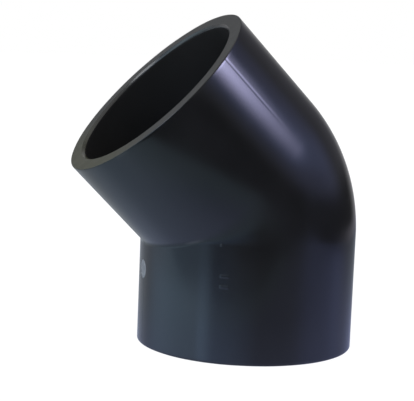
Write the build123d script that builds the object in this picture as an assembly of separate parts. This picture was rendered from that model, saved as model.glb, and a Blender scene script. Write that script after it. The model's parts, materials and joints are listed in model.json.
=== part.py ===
from build123d import *

import os
from math import cos, radians, sin, tan

# A 45 degree solvent-weld elbow for 110 mm pipe, moulded in one piece.
#
# Frame: millimetres, +Z up. The origin is the centre of the lower mouth. The lower arm rises
# along +Z to the bend centre, and the upper arm leans from there towards -X. The elbow is
# symmetric about the XZ plane, and its two arms are mirror images of each other in the mitre
# plane through the bend centre.

# Driving dimensions
bend_angle = 45.0
centre_to_face = 88.5  # bend centre to either mouth
outer_radius = 65.0
outer_bend_radius = 49.0  # of the outside's centre line, so the heel's own radius is 114
mouth_edge_radius = 0.5

parting_height = 0.1  # the raised line where the mould halves met, along heel and throat
parting_width = 0.5
parting_start = 1.5  # its distance from each mouth

socket_radius = 55.1  # takes a pipe of 110 mm outside diameter
socket_depth = 61.0  # mouth to stop shoulder
entry_chamfer = 1.5
passage_radius = 50.5
passage_bend_radius = 40.0
shoulder_chamfer = 1.0  # at the inner edge of the stop shoulder

gate_height = 45.2  # centre of the trimmed gate's scar above the lower mouth, on the throat side
gate_angle = 178.0  # of the scar, from the heel side about +Z
gate_radius = 5.5
gate_cut = 0.35  # depth of the trimmed flat behind the barrel's surface
gate_stub_radius = 2.2
gate_stub_height = 0.25

mark_proud = 0.25  # height of the plain raised marks
bar_angle = -122.3  # from the heel side about +Z
bar_width = 5.2
bar_height = 1.9
bar_levels = (44.7, 50.7)
dot_angle = -124.5
dot_level = 68.3
dot_radius = 0.9

# Worked out from them
half_angle = radians(bend_angle / 2)
bend_centre = (0, 0, centre_to_face)
mitre_plane = Plane(bend_centre, z_dir=(-sin(half_angle), 0, cos(half_angle)))


def both_arms(lower_arm):
    """The lower arm and its mirror image, as one solid."""
    return lower_arm + mirror(lower_arm, about=mitre_plane)


def tangent_level(bend_radius):
    """Height at which a round bar of that bend radius leaves the lower arm's straight stretch."""
    return centre_to_face - bend_radius * tan(half_angle)


def turned(*outline):
    """The solid that a closed outline of (radius, height) points makes when it turns about Z."""
    return revolve(Plane.XZ * make_face(Polyline(*outline, close=True)), Axis.Z)


def heel_sector(bar_radius, bend_radius):
    """The round bar's turn through the bend. Its section is cut off at the turning axis, past
    which the two straight arms meet in a crease at the throat."""
    section = Circle(bar_radius) & Pos(-bend_radius, 0) * Rectangle(
        4 * bar_radius, 4 * bar_radius, align=(Align.MIN, Align.CENTER)
    )
    level = tangent_level(bend_radius)
    turning_axis = Axis((-bend_radius, 0, level), (0, -1, 0))
    return revolve(Pos(0, 0, level) * section, turning_axis, bend_angle)


def straight_arm(radius, start):
    """A round bar along the lower arm, from a level above its mouth to the start of the outer bend."""
    length = tangent_level(outer_bend_radius) - start
    return Pos(0, 0, start) * Cylinder(radius, length, align=(Align.CENTER, Align.CENTER, Align.MIN))


def outside():
    """The elbow as a solid bar, with its two mouth edges rounded."""
    arm = straight_arm(outer_radius, 0)
    arm = fillet(arm.edges().sort_by(Axis.Z)[0], mouth_edge_radius)
    return both_arms(arm) + heel_sector(outer_radius, outer_bend_radius)


def parting_line():
    """The raised line along the heel and the throat, as a thin slice of a slightly thicker bar."""
    radius = outer_radius + parting_height
    bar = both_arms(straight_arm(radius, parting_start)) + heel_sector(radius, outer_bend_radius)
    return bar & Pos(bend_centre) * Box(4 * outer_radius, parting_width, 4 * outer_radius)


def hollow():
    """The space inside: in each arm a socket with an entry chamfer and a stop shoulder, and
    between them the narrower bend."""
    lead_start = socket_depth + shoulder_chamfer
    arm = turned(
        (0, 0),
        (socket_radius + entry_chamfer, 0),
        (socket_radius, entry_chamfer),
        (socket_radius, socket_depth),
        (passage_radius + shoulder_chamfer, socket_depth),
        (passage_radius, lead_start),
        (passage_radius, tangent_level(passage_bend_radius)),
        (0, tangent_level(passage_bend_radius)),
    )
    return both_arms(arm) + heel_sector(passage_radius, passage_bend_radius)


def gate_scar():
    """The flat left where the gate was trimmed, as the material to take away, and the low stub
    that stays in it."""
    face_x = outer_radius - gate_cut
    across = Plane((face_x, 0, gate_height), x_dir=(0, 1, 0), z_dir=(1, 0, 0))
    cut = extrude(across * Circle(gate_radius), 2 * gate_cut)
    stub = extrude(across * Circle(gate_stub_radius), gate_stub_height)
    return Rot(0, 0, gate_angle) * cut, Rot(0, 0, gate_angle) * stub


def raised_marks():
    """Two plain bars low on the side of the barrel, and a dot above them. They stand for the
    maker's marks."""
    depth = 2 * mark_proud
    bar = Box(depth, bar_width, bar_height)
    bar = fillet(bar.edges().filter_by(Axis.X), bar_height / 3)
    marks = [Rot(0, 0, bar_angle) * Pos(outer_radius, 0, level) * bar for level in bar_levels]
    dot = Rot(0, 90, 0) * Cylinder(dot_radius, depth)
    marks.append(Rot(0, 0, dot_angle) * Pos(outer_radius, 0, dot_level) * dot)
    return marks


def elbow_body():
    cut, stub = gate_scar()
    body = outside() + parting_line() - hollow() - cut + stub
    for mark in raised_marks():
        body += mark
    return body


os.makedirs("parts", exist_ok=True)
export_step(elbow_body(), "parts/elbow_body.step")
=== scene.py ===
import json
from math import cos, pi, radians, sin, tan

import bpy
import numpy as np
from mathutils import Matrix, Quaternion, Vector


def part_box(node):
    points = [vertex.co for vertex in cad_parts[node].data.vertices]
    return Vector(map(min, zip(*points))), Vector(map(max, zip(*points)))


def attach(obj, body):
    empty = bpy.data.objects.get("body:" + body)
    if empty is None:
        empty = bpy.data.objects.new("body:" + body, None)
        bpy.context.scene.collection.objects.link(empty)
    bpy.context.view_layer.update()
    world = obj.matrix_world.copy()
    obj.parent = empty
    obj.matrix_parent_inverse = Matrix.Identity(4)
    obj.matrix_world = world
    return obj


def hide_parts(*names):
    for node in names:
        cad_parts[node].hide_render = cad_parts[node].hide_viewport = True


# A 45 degree solvent-weld elbow in dark PVC: one moulding with a socket in each arm. The lower
# mouth stands on the floor round the origin, the lower arm rises along +Z, and the upper arm
# leans towards -X. Lengths are in metres throughout.

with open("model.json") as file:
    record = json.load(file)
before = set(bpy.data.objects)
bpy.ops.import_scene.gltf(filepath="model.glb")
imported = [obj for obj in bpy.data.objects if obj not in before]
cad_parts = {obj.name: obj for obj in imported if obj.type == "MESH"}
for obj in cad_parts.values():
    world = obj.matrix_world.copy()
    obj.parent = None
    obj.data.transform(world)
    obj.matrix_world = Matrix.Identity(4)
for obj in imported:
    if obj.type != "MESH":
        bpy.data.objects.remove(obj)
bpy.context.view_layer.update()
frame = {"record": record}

MM = 0.001
LOW_CORNER, HIGH_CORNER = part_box("elbow_body")
MOUNTS = {mount["name"]: mount for mount in frame["record"]["mounts"]}

# ---- The moulding's sizes ------------------------------------------------------------------------
HALF_TURN = radians(22.5)  # from either arm to the mitre plane
UPPER_SOCKET_POINT = MOUNTS["upper_socket"]["pos_m"]
BEND_HEIGHT = UPPER_SOCKET_POINT[2] + UPPER_SOCKET_POINT[0]  # where the two axes meet at 45 degrees
OUTER_RADIUS = HIGH_CORNER.y
OUTER_BEND = 49 * MM
THROAT_FILLET = 4.5 * MM
MOUTH_EDGE = 0.6 * MM
SOCKET_RADIUS = MOUNTS["lower_socket"]["dims"]["r_mm"] * MM
ENTRY_CHAMFER = 1.5 * MM
SOCKET_DEPTH = ENTRY_CHAMFER + MOUNTS["lower_socket"]["dims"]["length_mm"] * MM
PASSAGE_RADIUS = 50.5 * MM
PASSAGE_BEND = 40 * MM
PASSAGE_FILLET = 1.5 * MM
SHOULDER_CHAMFER = 1 * MM

PARTING_HEIGHT = 0.095 * MM
PARTING_HALF_WIDTH = 0.35 * MM
PARTING_START = 1.5 * MM

GATE_ANGLE = radians(178)
GATE_LEVEL = 45.2 * MM
GATE_RADIUS = 5.5 * MM
GATE_CUT = 0.35 * MM
STUB_RADIUS = 2.2 * MM
STUB_HEIGHT = 0.22 * MM

MARK_PROUD = 0.25 * MM
MARK_DRAFT = 0.35 * MM  # width of the sloping sides
BAR_ANGLE = radians(-122.3)
BAR_WIDTH = 5.2 * MM
BAR_HEIGHT = 1.9 * MM
BAR_LEVELS = (44.7 * MM, 50.7 * MM)
DOT_ANGLE = radians(-124.5)
DOT_LEVEL = 68.3 * MM
DOT_RADIUS = 0.9 * MM

FLOW_LINE_ANGLE = radians(-61.8)  # a fine sunken line on the upper arm, where the melt met
FLOW_LINE_LENGTH = 60 * MM
FLOW_LINE_DEPTH = 0.05 * MM
FLOW_LINE_HALF_WIDTH = 1.4 * MM

# ---- The mesh's spacing --------------------------------------------------------------------------
EVEN_COLUMNS = 180
LEAST_COLUMN_GAP = 0.0875 * MM  # a column nearer to its neighbour than this is left out
ROW_STEP = 2.4 * MM
FINE_ROW_STEP = 0.28 * MM
FINE_ROWS = (37.5 * MM, 52.5 * MM)  # the levels of the gate's scar and the bars
OUTLINE_END = 55 * MM  # past it the rows are spaced by shares of the way to the bend

# ---- The camera, aimed beside the CAD box's centre -----------------------------------------------
CAMERA_AZIMUTH = -19.84  # degrees from -Y, growing towards +X
CAMERA_ELEVATION = 7.55  # degrees
CAMERA_ROLL = radians(2.35)
CAMERA_DISTANCE = 0.8024
CAMERA_LENS_MM = 116.73
SENSOR_MM = 36
AIM_RIGHT = -5.26 * MM  # the point it looks at, from the box's centre
AIM_UP = -12.42 * MM

# ---- The studio ----------------------------------------------------------------------------------
SOFTBOX_DISTANCE = 1.5  # from the bend's centre
FLOOR_LEVEL = -0.02 * MM
TABLE_LEVEL = -0.4 * MM
TABLE_EDGE_WAY = (-46, 0)  # azimuth and elevation, in degrees, from the elbow to the near edge
TABLE_EDGE_DISTANCE = 0.232


# ---- Shape helpers -------------------------------------------------------------------------------
def smooth_step(low, high, value):
    """0 below low, 1 above high, and a smooth change between."""
    share = np.clip((value - low) / (high - low), 0, 1)
    return share * share * (3 - 2 * share)


def soft_max(value, least, softness=2 * MM):
    """The larger of the two, with a smooth change from one to the other."""
    return 0.5 * (value + least + np.sqrt((value - least) ** 2 + softness**2))


def ripple(angles, seed, waves):
    """A smooth closed wobble round the axis, between about -1 and 1, the same each run."""
    generator = np.random.default_rng(seed)
    slowest = 3
    total = np.zeros_like(angles)
    for wave in range(slowest, slowest + waves):
        total += np.sin(wave * angles + generator.uniform(0, 2 * pi)) / np.sqrt(waves)
    return total


def angle_from(angles, centre):
    """Signed angle from a line of the wall, between -pi and pi."""
    return (angles - centre + pi) % (2 * pi) - pi


def column_angles():
    """The angles of the mesh's columns: an even spacing, and fine ones where small details are."""
    fine_zones = (  # centre, reach to either side, and step
        (0, 0.8 * MM, 0.12 * MM),
        (GATE_ANGLE, GATE_RADIUS + 0.6 * MM, 0.25 * MM),
        (pi, 0.8 * MM, 0.12 * MM),
        (FLOW_LINE_ANGLE, FLOW_LINE_HALF_WIDTH + 0.2 * MM, 0.16 * MM),
        (DOT_ANGLE, DOT_RADIUS + 0.4 * MM, 0.25 * MM),
        (BAR_ANGLE, BAR_WIDTH / 2 + 0.6 * MM, 0.25 * MM),
    )
    chosen = [np.linspace(0, 2 * pi, EVEN_COLUMNS, endpoint=False)]
    for centre, reach, step in fine_zones:
        steps = int(reach / step)
        chosen.append(centre + np.arange(-steps, steps + 1) * step / OUTER_RADIUS)
    merged = np.sort(np.concatenate(chosen) % (2 * pi))
    keep = np.concatenate([[True], np.diff(merged) > LEAST_COLUMN_GAP / OUTER_RADIUS])
    return merged[keep]


ANGLES = column_angles()


def spaced(start, end, step):
    """Levels from start up to but without end, about a step apart."""
    count = max(1, round((end - start) / step))
    return list(np.linspace(start, end, count, endpoint=False))


def shares(steps, first=1):
    """Even shares of a whole, from the first step up to 1."""
    return [step / steps for step in range(first, steps + 1)]


def ring(radius, level):
    """One row of the mesh round the lower arm. The radius and the level are numbers, or have a
    value per column."""
    level = level + np.zeros_like(ANGLES)
    return np.stack([radius * np.cos(ANGLES), radius * np.sin(ANGLES), level], -1)


def wall_to_mitre(outline, bend_radius, least_turn, run_shares, turn_shares):
    """A wall's rows from its mouth to the mitre plane. Past the outline each line of the wall
    runs straight to the start of its own turn and then follows that arc. On the throat side the
    arc is never tighter than least_turn."""
    rows = [ring(radius, level) for radius, level in outline]
    radius, start = outline[-1]
    offset = radius * np.cos(ANGLES)
    across = radius * np.sin(ANGLES)
    turn = soft_max(bend_radius + offset, least_turn)
    tangent = BEND_HEIGHT + (offset - turn) * tan(HALF_TURN)
    for share in run_shares:
        rows.append(np.stack([offset, across, start + share * (tangent - start)], -1))
    for share in turn_shares:
        angle = share * HALF_TURN
        reach = turn * (1 - cos(angle))
        rows.append(np.stack([offset - reach, across, tangent + turn * sin(angle)], -1))
    return np.array(rows)


def mirrored(rows):
    """The rows' mirror image in the mitre plane."""
    normal = np.array([-sin(HALF_TURN), 0, cos(HALF_TURN)])
    centre = np.array([0, 0, BEND_HEIGHT])
    return rows - 2 * ((rows - centre) @ normal)[..., None] * normal


# ---- Small details of the outside ----------------------------------------------------------------
def parting_line(rows):
    """Height of the thin raised line on the heel and the throat, a little uneven in height."""
    side = np.minimum(abs(angle_from(ANGLES, 0)), abs(angle_from(ANGLES, pi))) * OUTER_RADIUS
    level = rows[..., 2]
    uneven = 0.75 + 0.25 * np.sin(level / (7 * MM)) * np.sin(level / (2.3 * MM))
    fade = smooth_step(PARTING_START, PARTING_START + 1 * MM, level)
    return PARTING_HEIGHT * uneven * fade * (1 - smooth_step(0.1 * MM, PARTING_HALF_WIDTH, side))


def gate_scar(rows):
    """Depth of the trimmed gate's flat below the wall, less the torn stub that stands in it."""
    side = angle_from(ANGLES, GATE_ANGLE) * OUTER_RADIUS
    level = rows[..., 2] - GATE_LEVEL
    distance = np.hypot(side, level)
    flat = np.maximum(GATE_CUT - side**2 / (2 * OUTER_RADIUS), 0)
    inside = 1 - smooth_step(GATE_RADIUS - 0.35 * MM, GATE_RADIUS, distance)
    torn = np.sin(side / (0.55 * MM) + 1.7 * np.sin(level / (0.9 * MM)))
    torn = torn * 0.04 * MM * np.sin(level / (0.6 * MM) + 1)
    stub = (STUB_HEIGHT + torn) * (1 - smooth_step(STUB_RADIUS - 0.5 * MM, STUB_RADIUS, distance))
    return inside * (stub + 0.35 * torn - flat)


def raised_marks(rows):
    """Height of the two plain bars and the dot."""
    level = rows[..., 2]
    height = np.zeros_like(level)
    past_side = abs(angle_from(ANGLES, BAR_ANGLE)) * OUTER_RADIUS - BAR_WIDTH / 2
    for bar_level in BAR_LEVELS:
        past_end = abs(level - bar_level) - BAR_HEIGHT / 2
        past = np.maximum(past_side, past_end)
        height = np.maximum(height, MARK_PROUD * (1 - smooth_step(-MARK_DRAFT, 0, past)))
    dot = np.hypot(angle_from(ANGLES, DOT_ANGLE) * OUTER_RADIUS, level - DOT_LEVEL)
    return np.maximum(height, MARK_PROUD * (1 - smooth_step(0.2 * DOT_RADIUS, DOT_RADIUS, dot)))


def flow_line(rows):
    """Depth of the fine sunken line that runs from the upper mouth along the side of the arm."""
    side = abs(angle_from(ANGLES, FLOW_LINE_ANGLE)) * OUTER_RADIUS
    level = rows[..., 2]
    nick = 1 + 1.5 * (1 - smooth_step(0, 2 * MM, level))
    fade = 1 - smooth_step(0.5 * FLOW_LINE_LENGTH, FLOW_LINE_LENGTH, level)
    return FLOW_LINE_DEPTH * nick * fade * (1 - smooth_step(0, FLOW_LINE_HALF_WIDTH, side))


def with_relief(rows, height):
    """The rows moved outwards by a height per point. The outward direction of the lower arm and
    the heel is level enough for details that are a fraction of a millimetre high."""
    outward = np.stack([np.cos(ANGLES), np.sin(ANGLES), np.zeros_like(ANGLES)], -1)
    return rows + height[..., None] * outward


def outer_wall(is_lower):
    """The outside from one mouth to the mitre plane, with the details of that arm."""
    edge = MOUTH_EDGE * (1 + 0.15 * ripple(ANGLES, seed=11 if is_lower else 12, waves=14))
    outline = []
    edge_steps = 5
    for share in shares(edge_steps, first=0):
        angle = share * pi / 2
        outline.append((OUTER_RADIUS - edge * (1 - sin(angle)), edge * (1 - cos(angle))))
    fine_start, fine_end = FINE_ROWS
    levels = spaced(2 * MM, fine_start, ROW_STEP)
    if is_lower:
        levels += spaced(fine_start, fine_end, FINE_ROW_STEP) + [fine_end, OUTLINE_END]
    else:
        levels += spaced(fine_start, OUTLINE_END, ROW_STEP) + [OUTLINE_END]
    outline += [(OUTER_RADIUS, level) for level in levels]
    run_steps = 30 if is_lower else 10
    run_shares = [1 - (1 - share) ** 1.5 for share in shares(run_steps)]
    rows = wall_to_mitre(outline, OUTER_BEND, THROAT_FILLET, run_shares, shares(24))
    height = parting_line(rows)
    if is_lower:
        height = np.maximum(height, raised_marks(rows))
        side = angle_from(ANGLES, GATE_ANGLE) * OUTER_RADIUS
        from_gate = np.hypot(side, rows[..., 2] - GATE_LEVEL)
        height = np.where(from_gate < GATE_RADIUS, gate_scar(rows), height)
    else:
        height = height - flow_line(rows)
    return with_relief(rows, height)


def inner_wall():
    """The inside from one mouth to the mitre plane: entry chamfer, socket, stop shoulder and
    passage."""
    soft = 0.15 * MM  # the small rounding at each corner
    shoulder_edge = PASSAGE_RADIUS + SHOULDER_CHAMFER
    outline = [
        (SOCKET_RADIUS + ENTRY_CHAMFER, 0),
        (SOCKET_RADIUS + ENTRY_CHAMFER - soft, soft * 0.8),
        (SOCKET_RADIUS + ENTRY_CHAMFER / 2, ENTRY_CHAMFER / 2),
        (SOCKET_RADIUS + soft * 0.8, ENTRY_CHAMFER - soft),
        (SOCKET_RADIUS, ENTRY_CHAMFER + soft),
    ]
    levels = spaced(3 * MM, SOCKET_DEPTH - 1 * MM, 3 * MM)
    outline += [(SOCKET_RADIUS, level) for level in levels]
    outline += [
        (SOCKET_RADIUS, SOCKET_DEPTH - 0.5 * MM),
        (SOCKET_RADIUS - soft, SOCKET_DEPTH - soft),
        (SOCKET_RADIUS - 0.5 * MM, SOCKET_DEPTH),
        (shoulder_edge + 1 * MM, SOCKET_DEPTH),
        (shoulder_edge + 0.1 * MM, SOCKET_DEPTH),
        (shoulder_edge - 0.1 * MM, SOCKET_DEPTH + 0.1 * MM),
        (PASSAGE_RADIUS + 0.1 * MM, SOCKET_DEPTH + SHOULDER_CHAMFER - 0.1 * MM),
        (PASSAGE_RADIUS, SOCKET_DEPTH + SHOULDER_CHAMFER + 0.2 * MM),
    ]
    return wall_to_mitre(outline, PASSAGE_BEND, PASSAGE_FILLET, shares(4), shares(18))


def rim_rows():
    """The flat ring of a mouth, from its outer edge to its inner one, without the rows that the
    walls begin with."""
    inner, outer = SOCKET_RADIUS + ENTRY_CHAMFER, OUTER_RADIUS - MOUTH_EDGE
    inwards = (0.06, 0.25, 0.5, 0.75, 0.97)
    return np.array([ring(outer + share * (inner - outer), 0) for share in inwards])


# ---- The elbow's mesh ----------------------------------------------------------------------------
def elbow_rows():
    """All rows of the closed surface in order, and the finish of the strip of faces that follows
    each row."""
    lower_outside, upper_outside = outer_wall(True), mirrored(outer_wall(False))
    inside = inner_wall()
    upper_inside = mirrored(inside)
    rim = rim_rows()
    edge_rows = 3  # rows of the rounded edge that belong to the rim's finish
    lead_rows = 4  # rows of the entry chamfer
    stretches = (
        (lower_outside[:edge_rows], "rim"),
        (lower_outside[edge_rows:], "outside"),
        (upper_outside[-2:edge_rows - 1:-1], "outside"),
        (upper_outside[edge_rows - 1::-1], "rim"),
        (mirrored(rim), "rim"),
        (upper_inside[:lead_rows], "chamfer"),
        (upper_inside[lead_rows:], "inside"),
        (inside[-2:lead_rows - 1:-1], "inside"),
        (inside[lead_rows - 1::-1], "chamfer"),
        (rim[::-1], "rim"),
    )
    rows = np.concatenate([points for points, finish in stretches])
    finishes = [finish for points, finish in stretches for _ in points]
    return rows, finishes


def near_gate(point):
    """Whether a point of the outside lies on the gate's scar."""
    centre = Vector((cos(GATE_ANGLE) * OUTER_RADIUS, sin(GATE_ANGLE) * OUTER_RADIUS, GATE_LEVEL))
    return (point - centre).length < GATE_RADIUS


def add_wall_map(mesh, rows):
    """A UV map in metres: u runs round the wall, and v along the surface from the first row."""
    row_count, column_count = rows.shape[:2]
    around = np.append(ANGLES, ANGLES[0] + 2 * pi) * OUTER_RADIUS
    steps = np.linalg.norm(np.roll(rows, -1, 0) - rows, axis=-1).mean(1)
    along = np.concatenate([[0], np.cumsum(steps)])
    layer = mesh.uv_layers.new(name="wall")
    values = np.zeros((row_count, column_count, 4, 2))
    for row in range(row_count):
        values[row, :, (0, 1), 1] = along[row]
        values[row, :, (2, 3), 1] = along[row + 1]
    values[:, :, (0, 3), 0] = around[:-1, None]
    values[:, :, (1, 2), 0] = around[1:, None]
    layer.data.foreach_set("uv", values.ravel())


def make_elbow(materials):
    """The whole moulding as one closed mesh, with a material slot for each finish."""
    rows, finishes = elbow_rows()
    row_count, column_count = rows.shape[:2]
    index = np.arange(row_count * column_count).reshape(row_count, column_count)
    above, beside = np.roll(index, -1, 0), np.roll(index, -1, 1)
    faces = np.stack([index, beside, np.roll(above, -1, 1), above], -1).reshape(-1, 4)
    mesh = bpy.data.meshes.new("moulded_elbow")
    mesh.from_pydata(rows.reshape(-1, 3).tolist(), [], faces.tolist())
    add_wall_map(mesh, rows)
    slots = {name: slot for slot, name in enumerate(materials)}
    for material in materials.values():
        mesh.materials.append(material)
    strip_slots = [slots[finish] for finish in finishes]
    mesh.polygons.foreach_set("material_index", np.repeat(strip_slots, column_count))
    for face in mesh.polygons:
        if face.material_index == slots["outside"] and near_gate(face.center):
            face.material_index = slots["gate"]
    mesh.polygons.foreach_set("use_smooth", [True] * len(mesh.polygons))
    mesh.validate()
    return add_object("moulded_elbow", mesh)


# ---- Node helpers --------------------------------------------------------------------------------
class Nodes:
    """A short way to write a node tree."""

    def __init__(self, tree):
        self.tree = tree
        tree.nodes.clear()

    def make(self, kind, settings=None, **inputs):
        """A node of a kind, with its settings, and its inputs by name with _ for a space."""
        node = self.tree.nodes.new(kind)
        for name, value in (settings or {}).items():
            setattr(node, name, value)
        for name, value in inputs.items():
            self.put(node, name.replace("_", " "), value)
        return node

    def put(self, node, socket, value):
        """Link a value to a socket, or set it there. The socket is a name or a number."""
        target = node.inputs[socket]
        if isinstance(value, bpy.types.NodeSocket):
            self.tree.links.new(value, target)
        else:
            target.default_value = value

    def wall(self):
        """The place on the wall: metres round it and metres along it."""
        return self.make("ShaderNodeUVMap", {"uv_map": "wall"}).outputs[0]

    def spot(self):
        """The place in space, in metres."""
        return self.make("ShaderNodeTexCoord").outputs["Object"]

    def along(self, place, way):
        """How far a place lies along a way."""
        node = self.make("ShaderNodeVectorMath", {"operation": "DOT_PRODUCT"})
        self.put(node, 0, place)
        self.put(node, 1, way)
        return node.outputs["Value"]

    def math(self, operation, first, second):
        node = self.make("ShaderNodeMath", {"operation": operation})
        self.put(node, 0, first)
        self.put(node, 1, second)
        return node.outputs[0]

    def product(self, first, *others):
        for other in others:
            first = self.math("MULTIPLY", first, other)
        return first

    def ramp(self, value, low, high, from_value=0.0, to_value=1.0):
        """from_value below low, to_value above high, and a smooth change between."""
        node = self.make("ShaderNodeMapRange", {"interpolation_type": "SMOOTHSTEP"})
        sockets = ("Value", "From Min", "From Max", "To Min", "To Max")
        for socket, number in zip(sockets, (value, low, high, from_value, to_value)):
            self.put(node, socket, number)
        return node.outputs[0]

    def mix(self, share, first, second):
        """The first colour at a share of 0, and the second at 1."""
        node = self.make("ShaderNodeMix", {"data_type": "RGBA"})
        self.put(node, 0, share)
        self.put(node, 6, first)
        self.put(node, 7, second)
        return node.outputs[2]

    def noise(self, vector, scale, detail=2.0, roughness=0.5):
        settings = {"Vector": vector, "Scale": scale, "Detail": detail, "Roughness": roughness}
        return self.make("ShaderNodeTexNoise", **settings).outputs[0]

    def stretched(self, vector, scale):
        return self.make("ShaderNodeMapping", Vector=vector, Scale=scale).outputs[0]

    def bump(self, height, distance, strength=1.0, normal=None):
        node = self.make("ShaderNodeBump", Height=height, Distance=distance, Strength=strength)
        if normal is not None:
            self.put(node, "Normal", normal)
        return node.outputs[0]

    def join(self, kind, *inputs):
        """A node of a kind that takes its inputs in order, such as two shaders."""
        node = self.make(kind)
        for socket, value in enumerate(inputs):
            self.put(node, socket, value)
        return node.outputs[0] if node.outputs else None


def colour(red, green, blue):
    return (red, green, blue, 1.0)


def new_material(name):
    material = bpy.data.materials.new(name)
    material.use_nodes = True
    return material, Nodes(material.node_tree)


def finish_material(nodes, base, roughness, normal, **constants):
    """The plastic's shader and the output. The constants are set on the shader's own sockets."""
    shader = nodes.make(
        "ShaderNodeBsdfPrincipled", Base_Color=base, Roughness=roughness, Normal=normal, **constants
    )
    nodes.join("ShaderNodeOutputMaterial", shader.outputs[0])


# ---- Materials -----------------------------------------------------------------------------------
def outside_material():
    """Moulded PVC: semi-gloss and dark, with a faint orange peel, slow waves, hairlines, rubs and
    a little dust."""
    material, nodes = new_material("pvc_outside")
    spot, wall = nodes.spot(), nodes.wall()
    clouds = nodes.noise(spot, 22, detail=4)
    darker, lighter = colour(0.0072, 0.0074, 0.0078), colour(0.0090, 0.0092, 0.0096)
    tone = nodes.mix(nodes.ramp(clouds, 0.35, 0.65), darker, lighter)
    dust = nodes.ramp(nodes.noise(spot, 1500, detail=1), 0.74, 0.80)
    rub = nodes.ramp(nodes.noise(nodes.stretched(wall, (60, 900, 1)), 1, detail=3), 0.66, 0.80)
    tone = nodes.mix(nodes.product(dust, 0.35), tone, colour(0.045, 0.048, 0.052))
    tone = nodes.mix(nodes.product(rub, 0.10), tone, colour(0.040, 0.043, 0.050))
    patches = nodes.ramp(nodes.noise(spot, 45, detail=5, roughness=0.6), 0.35, 0.70, 0.14, 0.19)
    roughness = nodes.math("ADD", patches, nodes.product(rub, 0.06))
    waves = nodes.bump(nodes.noise(spot, 28, detail=1), 0.00012)
    peel = nodes.bump(nodes.noise(spot, 520, detail=2), 0.000004, normal=waves)
    hairlines = nodes.noise(nodes.stretched(wall, (2600, 35, 1)), 1, detail=2)
    lines = nodes.bump(nodes.ramp(hairlines, 0.66, 0.76), 0.000004, strength=0.5, normal=peel)
    finish_material(nodes, tone, roughness, lines, IOR=1.53)
    return material


def rim_material(name, smoothest, roughest):
    """The face or the entry chamfer of a mouth: paler and duller, with fine tool marks round it."""
    material, nodes = new_material(name)
    spot, wall = nodes.spot(), nodes.wall()
    clouds = nodes.noise(spot, 60, detail=5, roughness=0.65)
    darker, lighter = colour(0.0150, 0.0146, 0.0125), colour(0.025, 0.0242, 0.0212)
    tone = nodes.mix(nodes.ramp(clouds, 0.3, 0.7), darker, lighter)
    rings = nodes.noise(nodes.stretched(wall, (12, 2600, 1)), 1, detail=2)
    tone = nodes.mix(nodes.ramp(rings, 0.5, 0.8, 0, 0.5), tone, colour(0.045, 0.046, 0.047))
    # The tone turns paler and olive towards -X, which reaches only the west end of the upper mouth.
    east = nodes.make("ShaderNodeSeparateXYZ", Vector=spot).outputs[0]
    low_side = nodes.ramp(east, -0.104, -0.078, 0.9, 0)
    tone = nodes.mix(low_side, tone, colour(0.042, 0.041, 0.017))
    roughness = nodes.ramp(clouds, 0.3, 0.7, smoothest, roughest)
    marks = nodes.bump(rings, 0.00002)
    grain = nodes.bump(nodes.noise(spot, 1800, detail=2), 0.00001, normal=marks)
    finish_material(nodes, tone, roughness, grain, IOR=1.53)
    return material


def inside_material():
    """The socket's wall: dark and duller, with faint draw lines along the core's travel."""
    material, nodes = new_material("pvc_inside")
    spot, wall = nodes.spot(), nodes.wall()
    clouds = nodes.noise(spot, 30, detail=4)
    darker, lighter = colour(0.0142, 0.0136, 0.0134), colour(0.0172, 0.0166, 0.0163)
    tone = nodes.mix(nodes.ramp(clouds, 0.3, 0.7), darker, lighter)
    draw = nodes.noise(nodes.stretched(wall, (1300, 12, 1)), 1, detail=3)
    patches = nodes.ramp(clouds, 0.3, 0.7, 0.54, 0.62)
    roughness = nodes.math("ADD", patches, nodes.ramp(draw, 0.55, 0.8, 0, 0.08))
    lines = nodes.bump(draw, 0.00001)
    grain = nodes.bump(nodes.noise(spot, 900, detail=2), 0.000005, normal=lines)
    finish_material(nodes, tone, roughness, grain, IOR=1.53, Specular_IOR_Level=0.2)
    return material


def gate_material():
    """The trimmed gate: paler stress-whitened plastic with a torn grain."""
    material, nodes = new_material("pvc_gate")
    spot = nodes.spot()
    grain = nodes.noise(spot, 900, detail=4, roughness=0.65)
    darker, lighter = colour(0.12, 0.13, 0.14), colour(0.28, 0.29, 0.31)
    tone = nodes.mix(nodes.ramp(grain, 0.35, 0.7), darker, lighter)
    roughness = nodes.ramp(grain, 0.35, 0.7, 0.45, 0.65)
    torn = nodes.bump(grain, 0.00015)
    finish_material(nodes, tone, roughness, torn, IOR=1.53)
    return material


# ---- Camera, lights and surround -----------------------------------------------------------------
def direction(azimuth, elevation):
    """The way from the elbow towards an azimuth, in degrees from -Y and growing towards +X, and an
    elevation in degrees."""
    azimuth, elevation = radians(azimuth), radians(elevation)
    return Vector((sin(azimuth) * cos(elevation), -cos(azimuth) * cos(elevation), sin(elevation)))


def add_object(name, data):
    added = bpy.data.objects.new(name, data)
    bpy.context.scene.collection.objects.link(added)
    return added


def make_camera():
    centre = (LOW_CORNER + HIGH_CORNER) / 2
    back = direction(CAMERA_AZIMUTH, CAMERA_ELEVATION)
    right = Vector((0, 0, 1)).cross(back).normalized()
    up = back.cross(right)
    data = bpy.data.cameras.new("camera")
    data.lens = CAMERA_LENS_MM
    data.sensor_width = SENSOR_MM
    data.clip_start, data.clip_end = 0.01, 50
    camera = add_object("camera", data)
    rolled_right = cos(CAMERA_ROLL) * right + sin(CAMERA_ROLL) * up
    rolled_up = cos(CAMERA_ROLL) * up - sin(CAMERA_ROLL) * right
    turn = Matrix((rolled_right, rolled_up, back)).transposed().to_4x4()
    place = centre + AIM_RIGHT * right + AIM_UP * up + CAMERA_DISTANCE * back
    camera.matrix_world = Matrix.Translation(place) @ turn
    bpy.context.scene.camera = camera


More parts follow.
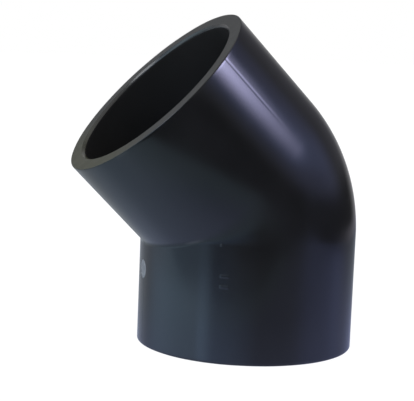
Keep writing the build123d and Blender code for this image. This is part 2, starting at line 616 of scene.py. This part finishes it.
def add_softbox(
    name, azimuth, elevation, size, radiance, tint, fades, fringe=None, falloff=1, roll=0
):
    """A light panel that faces the elbow and that the camera doesn't see. Its glow fades towards
    its four edges: fades are the shares of its size over which it does so, at the low and high
    azimuth and at the bottom and the top, and a falloff over 1 gives a smaller core. A fringe is
    another tint far from the core. A roll turns the panel in its own plane, its higher azimuth
    side upwards."""
    data = bpy.data.lights.new(name, "AREA")
    data.shape = "RECTANGLE"
    data.size, data.size_y = size
    data.energy = radiance * pi * size[0] * size[1]
    data.use_nodes = True
    nodes = Nodes(data.node_tree)
    face = nodes.make("ShaderNodeNewGeometry").outputs["Parametric"]
    across, up, _ = nodes.make("ShaderNodeSeparateXYZ", Vector=face).outputs
    low_azimuth, high_azimuth, bottom, top = fades
    glow = nodes.product(
        nodes.ramp(across, 0, low_azimuth),
        nodes.ramp(across, 1 - high_azimuth, 1, 1, 0),
        nodes.ramp(up, 0, bottom),
        nodes.ramp(up, 1 - top, 1, 1, 0),
    )
    glow = nodes.math("POWER", glow, falloff)
    tints = nodes.mix(nodes.ramp(glow, 0, 0.03), colour(*(fringe or tint)), colour(*tint))
    emission = nodes.make("ShaderNodeEmission", Color=tints, Strength=glow)
    nodes.join("ShaderNodeOutputLight", emission.outputs[0])
    panel = add_object(name, data)
    towards = direction(azimuth, elevation)
    facing = (-towards).to_track_quat("-Z", "Y") @ Quaternion((0, 0, 1), radians(roll))
    panel.location = Vector((0, 0, BEND_HEIGHT)) + SOFTBOX_DISTANCE * towards
    panel.rotation_mode = "QUATERNION"
    panel.rotation_quaternion = facing
    panel.visible_camera = False


def make_world():
    """Near-white to the camera. To the elbow it is a studio: dim on the camera's side, bluish on
    the right, pale behind and above, and darkest at the horizon."""
    world = bpy.data.worlds.new("studio")
    world.use_nodes = True
    bpy.context.scene.world = world
    nodes = Nodes(world.node_tree)
    way = nodes.make("ShaderNodeTexCoord").outputs["Generated"]
    east, north, height = nodes.make("ShaderNodeSeparateXYZ", Vector=way).outputs
    front, sides = colour(0.20, 0.20, 0.205), colour(0.155, 0.155, 0.175)
    room = nodes.mix(nodes.ramp(north, -0.5, 0.2), front, sides)
    right = nodes.product(nodes.ramp(east, 0.45, 0.8), nodes.ramp(north, -0.1, 0.35, 1, 0))
    room = nodes.mix(right, room, colour(0.32, 0.35, 0.58))
    room = nodes.mix(nodes.ramp(north, 0.60, 0.95), room, colour(0.41, 0.41, 0.42))
    room = nodes.mix(nodes.ramp(east, -0.35, -0.9), room, colour(0.42, 0.52, 0.70))
    room = nodes.mix(nodes.ramp(height, 0.7, 0.95), room, colour(0.8, 0.8, 0.8))
    dark, pale = colour(0.035, 0.035, 0.035), colour(0.42, 0.42, 0.44)
    horizon = nodes.mix(nodes.ramp(north, 0.45, 0.85), dark, pale)
    dark, pale = colour(0.05, 0.05, 0.06), colour(0.32, 0.31, 0.36)
    below = nodes.mix(nodes.ramp(north, -0.2, 0.6), dark, pale)
    horizon = nodes.mix(nodes.ramp(height, -0.125, -0.085), below, horizon)
    room = nodes.mix(nodes.ramp(height, 0.02, 0.16), horizon, room)
    seen = nodes.make("ShaderNodeLightPath").outputs["Is Camera Ray"]
    room = nodes.mix(seen, room, colour(1.0, 1.0, 1.0))
    nodes.join("ShaderNodeOutputWorld", nodes.join("ShaderNodeBackground", room, 1.0))


def add_plane(name, west, south, east, north, level, material):
    corners = [(west, south), (east, south), (east, north), (west, north)]
    mesh = bpy.data.meshes.new(name)
    mesh.from_pydata([(x, y, level) for x, y in corners], [], [(0, 1, 2, 3)])
    mesh.materials.append(material)
    plane = add_object(name, mesh)
    return plane


def floor_material():
    """A pale matt sheet that also glows, so that it stays near white round the elbow's shadow."""
    material, nodes = new_material("floor")
    diffuse = nodes.join("ShaderNodeBsdfDiffuse", colour(0.12, 0.12, 0.12))
    glow = nodes.join("ShaderNodeEmission", colour(1, 1, 1), 0.97)
    nodes.join("ShaderNodeOutputMaterial", nodes.join("ShaderNodeAddShader", diffuse, glow))
    return material


def table_material():
    """What the elbow mirrors of the table: a lit acrylic sheet with a straight near edge, bluer on
    the right, dimmer towards the camera, and itself a mirror for the panels at low angles."""
    material, nodes = new_material("table")
    spot = nodes.spot()
    east, north, _ = nodes.make("ShaderNodeSeparateXYZ", Vector=spot).outputs
    past_elbow = nodes.along(spot, -direction(*TABLE_EDGE_WAY))
    from_edge = nodes.math("ADD", past_elbow, TABLE_EDGE_DISTANCE)
    right = nodes.product(nodes.ramp(east, -0.24, 0.02), nodes.ramp(from_edge, 0.02, 0.10))
    tint = nodes.mix(right, colour(0.42, 0.61, 0.75), colour(0.46, 0.52, 0.93))
    tint = nodes.mix(nodes.ramp(north, -0.05, 0.2), tint, colour(0.43, 0.48, 0.52))
    strength = nodes.product(
        nodes.ramp(from_edge, -0.008, 0.008),
        nodes.ramp(north, -0.20, -0.04, 0.62, 1),
        nodes.ramp(east, 0.37, 0.44, 1, 0),
    )
    glow = nodes.join("ShaderNodeEmission", tint, strength)
    mirror = nodes.make("ShaderNodeBsdfGlossy", Color=colour(0.87, 0.95, 1.10), Roughness=0.15)
    fresnel = nodes.make("ShaderNodeFresnel", IOR=1.45).outputs[0]
    share = nodes.product(fresnel, 1.9, nodes.ramp(east, -0.36, -0.20, 0.55, 1))
    both = nodes.join("ShaderNodeMixShader", share, glow, mirror.outputs[0])
    nodes.join("ShaderNodeOutputMaterial", both)
    return material


def make_floor():
    """The camera sees the floor, and only reflections in the elbow see the table."""
    floor = add_plane("floor", -6, -6, 6, 6, FLOOR_LEVEL, floor_material())
    floor.visible_glossy = False
    table = add_plane("table", -3, -0.42, 0.44, 3, TABLE_LEVEL, table_material())
    table.visible_camera = False
    table.visible_diffuse = False
    table.visible_shadow = False


def make_lights():
    white, lilac, blue = (0.95, 0.97, 1.0), (0.66, 0.65, 1.0), (0.38, 0.50, 1.0)
    pale_cyan, sky = (0.65, 0.88, 1.0), (0.44, 0.66, 1.0)
    add_softbox(
        "right_softbox", azimuth=57.5, elevation=27, size=(1.6, 0.975), radiance=43,
        tint=lilac, fringe=blue, fades=(0.5, 0.5, 0.85, 0.45), falloff=3, roll=23,
    )
    add_softbox(
        "right_fill", azimuth=60, elevation=22, size=(2.6, 0.7), radiance=0.45,
        tint=blue, fades=(0.5, 0.5, 0.4, 0.4),
    )
    add_softbox(
        "left_softbox", azimuth=-100, elevation=13, size=(3.2, 0.7), radiance=1.25,
        tint=pale_cyan, fades=(0.5, 0.2, 0.1, 0.3),
    )
    add_softbox(
        "front_left_softbox", azimuth=-39, elevation=15, size=(2.0, 0.45), radiance=1.2,
        tint=sky, fades=(0.1, 0.45, 0.3, 0.3),
    )
    add_softbox(
        "back_left_softbox", azimuth=-140, elevation=42, size=(0.9, 0.7), radiance=0.8,
        tint=white, fades=(0.3, 0.3, 0.3, 0.3),
    )
    add_softbox(
        "high_left_softbox", azimuth=-76, elevation=38, size=(0.5, 0.7), radiance=6,
        tint=white, fades=(0.2, 0.2, 0.2, 0.2),
    )


make_camera()
make_world()
make_floor()
make_lights()
elbow = make_elbow({
    "outside": outside_material(),
    "rim": rim_material("pvc_rim", smoothest=0.42, roughest=0.52),
    "chamfer": rim_material("pvc_chamfer", smoothest=0.20, roughest=0.28),
    "inside": inside_material(),
    "gate": gate_material(),
})
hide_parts("elbow_body")
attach(elbow, "root")
bpy.context.scene.view_settings.view_transform = "Standard"
